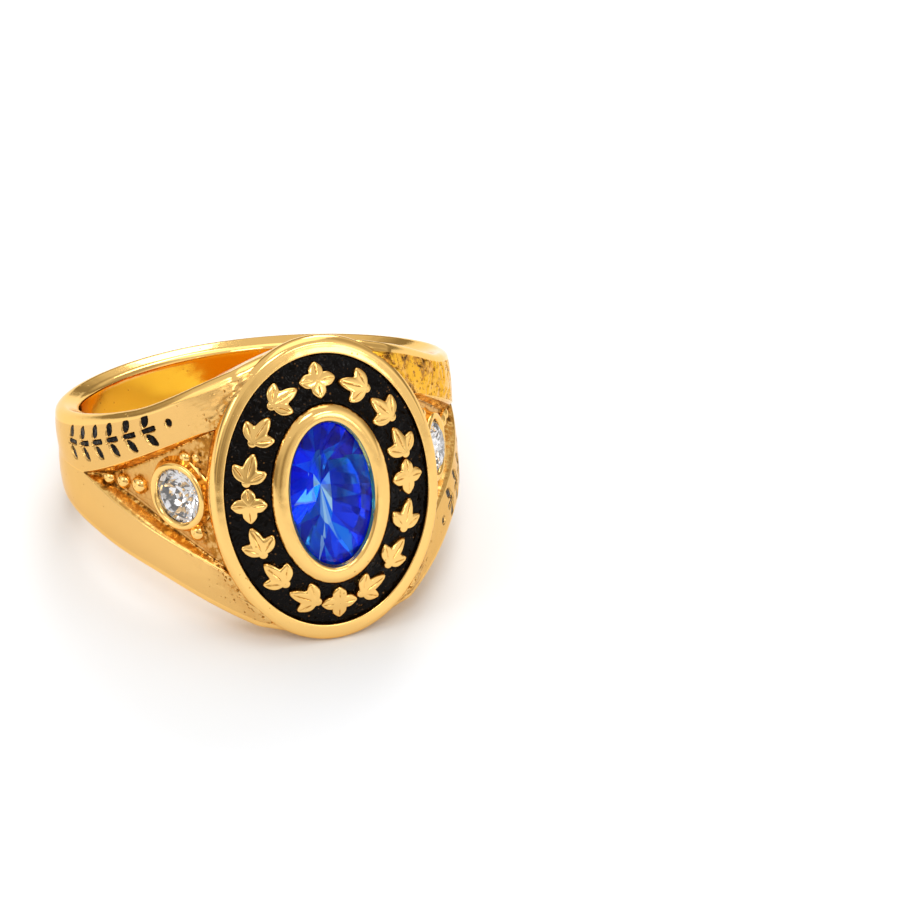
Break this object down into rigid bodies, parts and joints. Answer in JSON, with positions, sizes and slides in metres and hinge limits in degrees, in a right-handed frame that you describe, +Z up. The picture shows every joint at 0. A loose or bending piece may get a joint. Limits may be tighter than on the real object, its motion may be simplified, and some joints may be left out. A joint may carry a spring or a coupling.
{
  "type": "statement ring",
  "caption": "Oval statement ring: split shoulders with sunk panels and round stones, raised ornament in a black enamel channel, oval blue centre stone.",
  "frame": {"origin": "on the surface that the ring lies on, under the middle of its box", "axes": "+Z up; the ring lies on its side with its face towards -Y, tipped up, and its finger axis in the YZ plane"},
  "size_m": [0.023, 0.0272, 0.0175],
  "materials": {
    "gold": "polished cast gold with a stippled panel and pitted corners",
    "black_enamel": "glossy, slightly uneven enamel",
    "blue_stone": "faceted, polished",
    "white_stone": "faceted, polished"
  },
  "bodies": {
    "root": {"ring_body": "gold", "channel_enamel": "black_enamel", "centre_stone": "blue_stone", "side_stone_left": "white_stone", "side_stone_right": "white_stone", "rail_inlay_left": "black_enamel", "rail_inlay_right": "black_enamel"}
  },
  "joints": []
}
